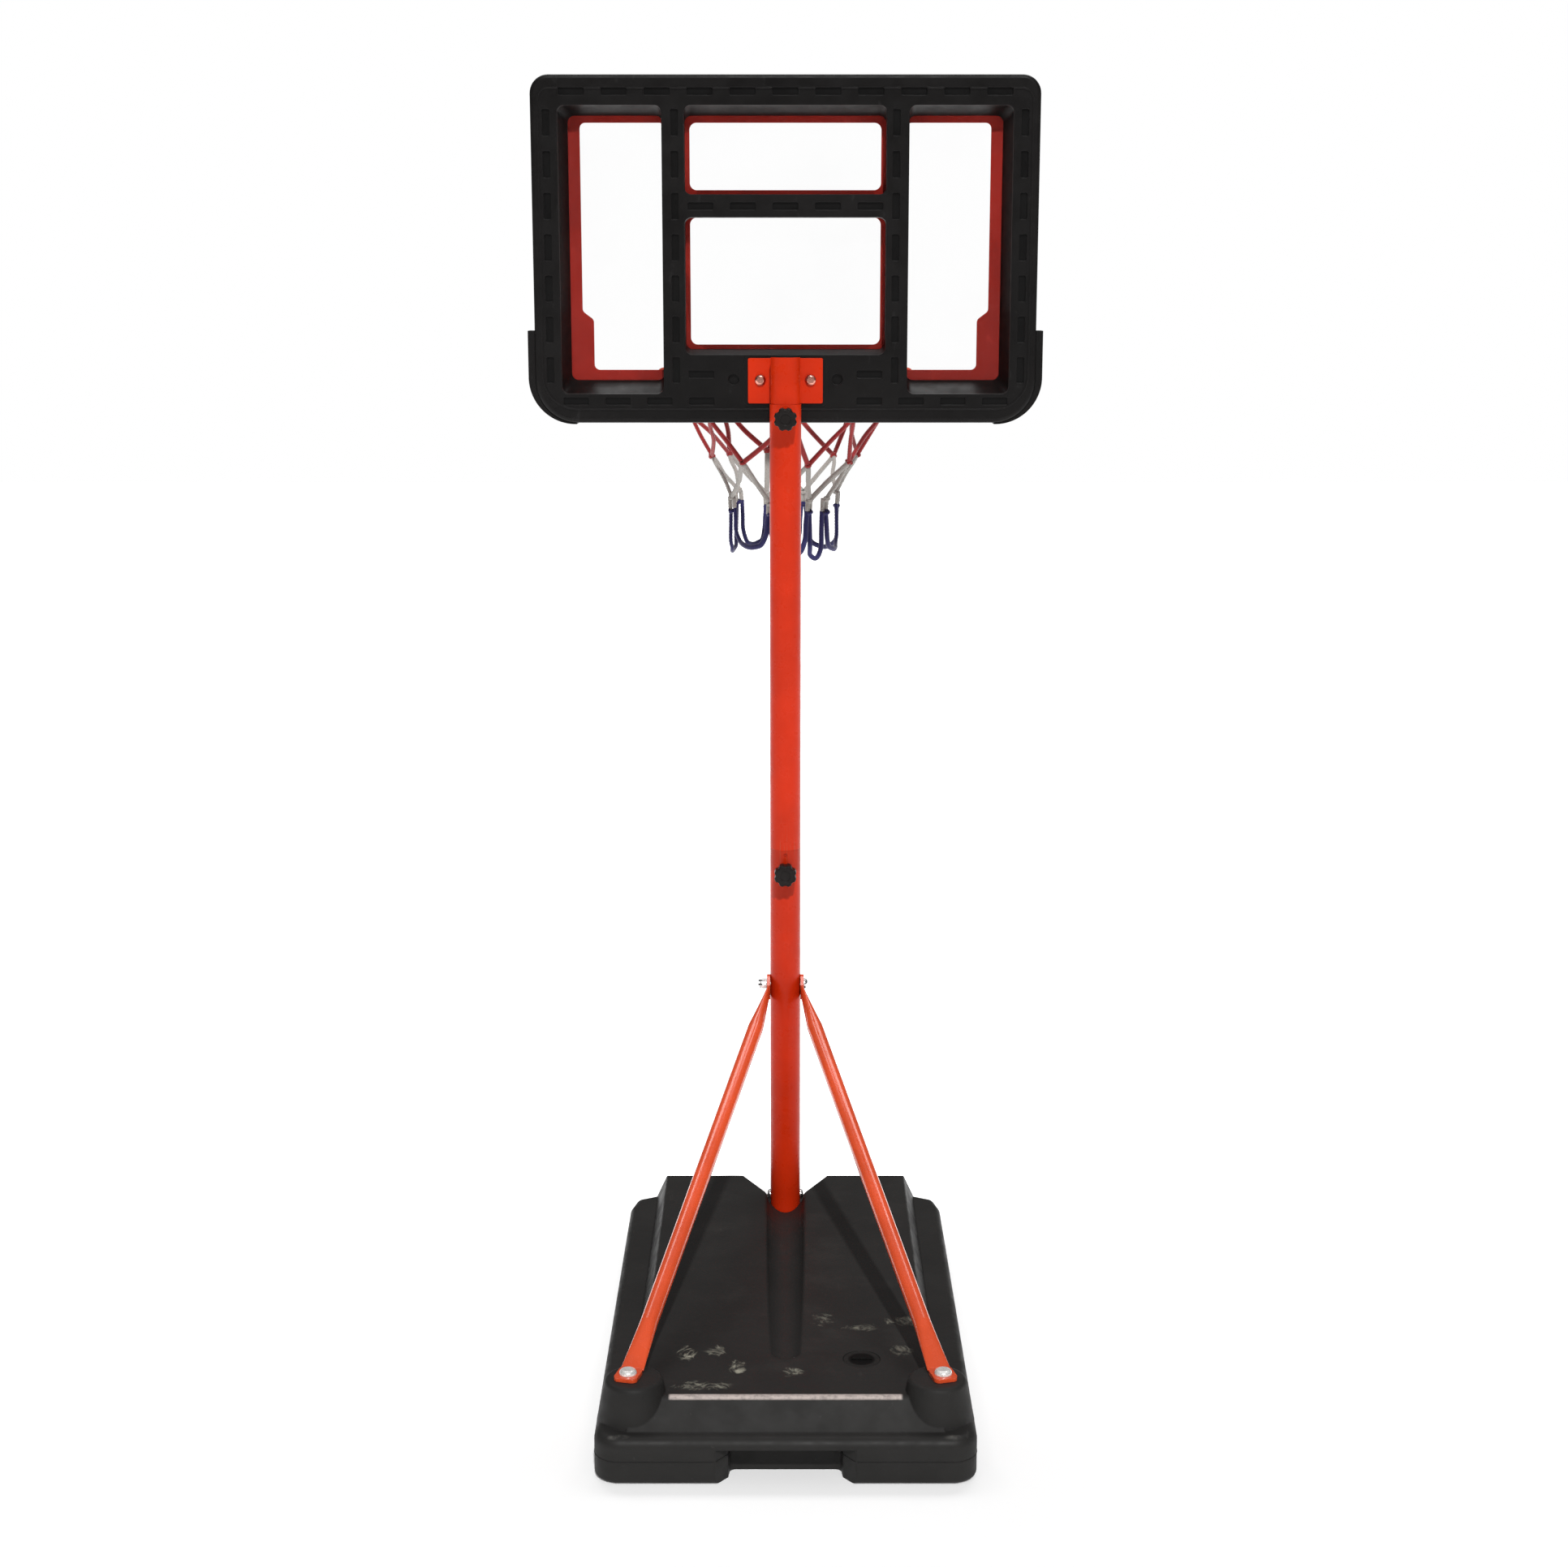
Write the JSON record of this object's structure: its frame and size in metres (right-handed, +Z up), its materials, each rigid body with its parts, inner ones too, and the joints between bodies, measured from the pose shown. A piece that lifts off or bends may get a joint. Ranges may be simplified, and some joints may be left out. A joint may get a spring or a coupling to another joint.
{
  "type": "portable basketball hoop",
  "caption": "Free-standing junior basketball hoop: ballast base with wheels, braced telescoping pole with clamp knobs, framed clear backboard, steel rim and cord net.",
  "frame": {"origin": "on the floor, under the pole's axis, on the underside of the base", "axes": "+Z up, +Y from the pole towards the rim, +X to the right of a person standing behind the base"},
  "size_m": [0.736, 1.24, 1.733],
  "materials": {
    "red_paint": "glossy powder coat",
    "rim_paint": "glossy powder coat",
    "zinc_steel": "bright zinc plate",
    "base_plastic": "blow-moulded, fine matte grain",
    "wheel_plastic": "moulded, satin tread",
    "cap_plastic": "moulded, matte",
    "knob_plastic": "moulded, satin",
    "frame_plastic": "moulded, satin",
    "panel_plastic": "smooth moulded",
    "clear_plastic": "clear sheet",
    "net_cord": "flat braided cord in red, white and navy bands"
  },
  "bodies": {
    "stand": {"base_tank": "base_plastic", "wheel_axle": "zinc_steel", "axle_cap_left": "zinc_steel", "axle_cap_right": "zinc_steel", "foot_plug": "cap_plastic", "foot_screw_front": "zinc_steel", "foot_screw_rear": "zinc_steel", "foot_cross_bolt": "zinc_steel", "foot_cross_nut": "zinc_steel", "lower_pole": "red_paint", "clamp_boss_lower": "red_paint", "brace_left": "red_paint", "brace_right": "red_paint", "brace_foot_bolt_left": "zinc_steel", "brace_foot_bolt_right": "zinc_steel", "brace_pivot_bolt": "zinc_steel", "brace_wing_nut": "zinc_steel"},
    "wheel_left": {"wheel_left": "wheel_plastic"},
    "wheel_right": {"wheel_right": "wheel_plastic"},
    "filler_cap": {"filler_cap": "cap_plastic"},
    "knob_lower": {"knob_lower": "knob_plastic", "knob_screw_lower": "zinc_steel"},
    "upper_pole": {"upper_pole": "red_paint", "clamp_boss_upper": "red_paint"},
    "knob_upper": {"knob_upper": "knob_plastic", "knob_screw_upper": "zinc_steel"},
    "board": {"board_post": "red_paint", "post_cap": "cap_plastic", "backboard_frame": "frame_plastic", "backboard_front": "panel_plastic", "clear_sheet": "clear_plastic", "corner_guard_left": "frame_plastic", "corner_guard_right": "frame_plastic", "board_bracket": "red_paint", "bracket_bolt_left": "zinc_steel", "bracket_bolt_right": "zinc_steel", "bracket_nut_left": "zinc_steel", "bracket_nut_right": "zinc_steel", "rim_bracket": "rim_paint", "rim_ring": "rim_paint", "rim_strut_left": "rim_paint", "rim_strut_right": "rim_paint", "net_hook_01": "rim_paint", "net_hook_02": "rim_paint", "net_hook_03": "rim_paint", "net_hook_04": "rim_paint", "net_hook_05": "rim_paint", "net_hook_06": "rim_paint", "net_hook_07": "rim_paint", "net_hook_08": "rim_paint", "net": "net_cord"}
  },
  "joints": [
    {"name": "pole_slide", "type": "slide", "parent": "stand", "child": "upper_pole", "axis": [0, 0, 1], "range_m": [0, 0.1]},
    {"name": "post_slide", "type": "slide", "parent": "upper_pole", "child": "board", "axis": [0, 0, 1], "range_m": [0, 0.3]},
    {"name": "knob_lower_turn", "type": "hinge", "parent": "stand", "child": "knob_lower", "pos_m": [0, -0.04, 0.598], "axis": [0, -1, 0], "continuous": true},
    {"name": "knob_upper_turn", "type": "hinge", "parent": "upper_pole", "child": "knob_upper", "pos_m": [0, -0.04, 1.26], "axis": [0, -1, 0], "continuous": true},
    {"name": "wheel_left_spin", "type": "hinge", "parent": "stand", "child": "wheel_left", "pos_m": [-0.14, 0.045, 0.044], "axis": [1, 0, 0], "continuous": true},
    {"name": "wheel_right_spin", "type": "hinge", "parent": "stand", "child": "wheel_right", "pos_m": [0.14, 0.045, 0.044], "axis": [1, 0, 0], "continuous": true},
    {"name": "filler_cap_lift", "type": "slide", "parent": "stand", "child": "filler_cap", "axis": [0, 0, 1], "range_m": [0, 0.06]}
  ]
}
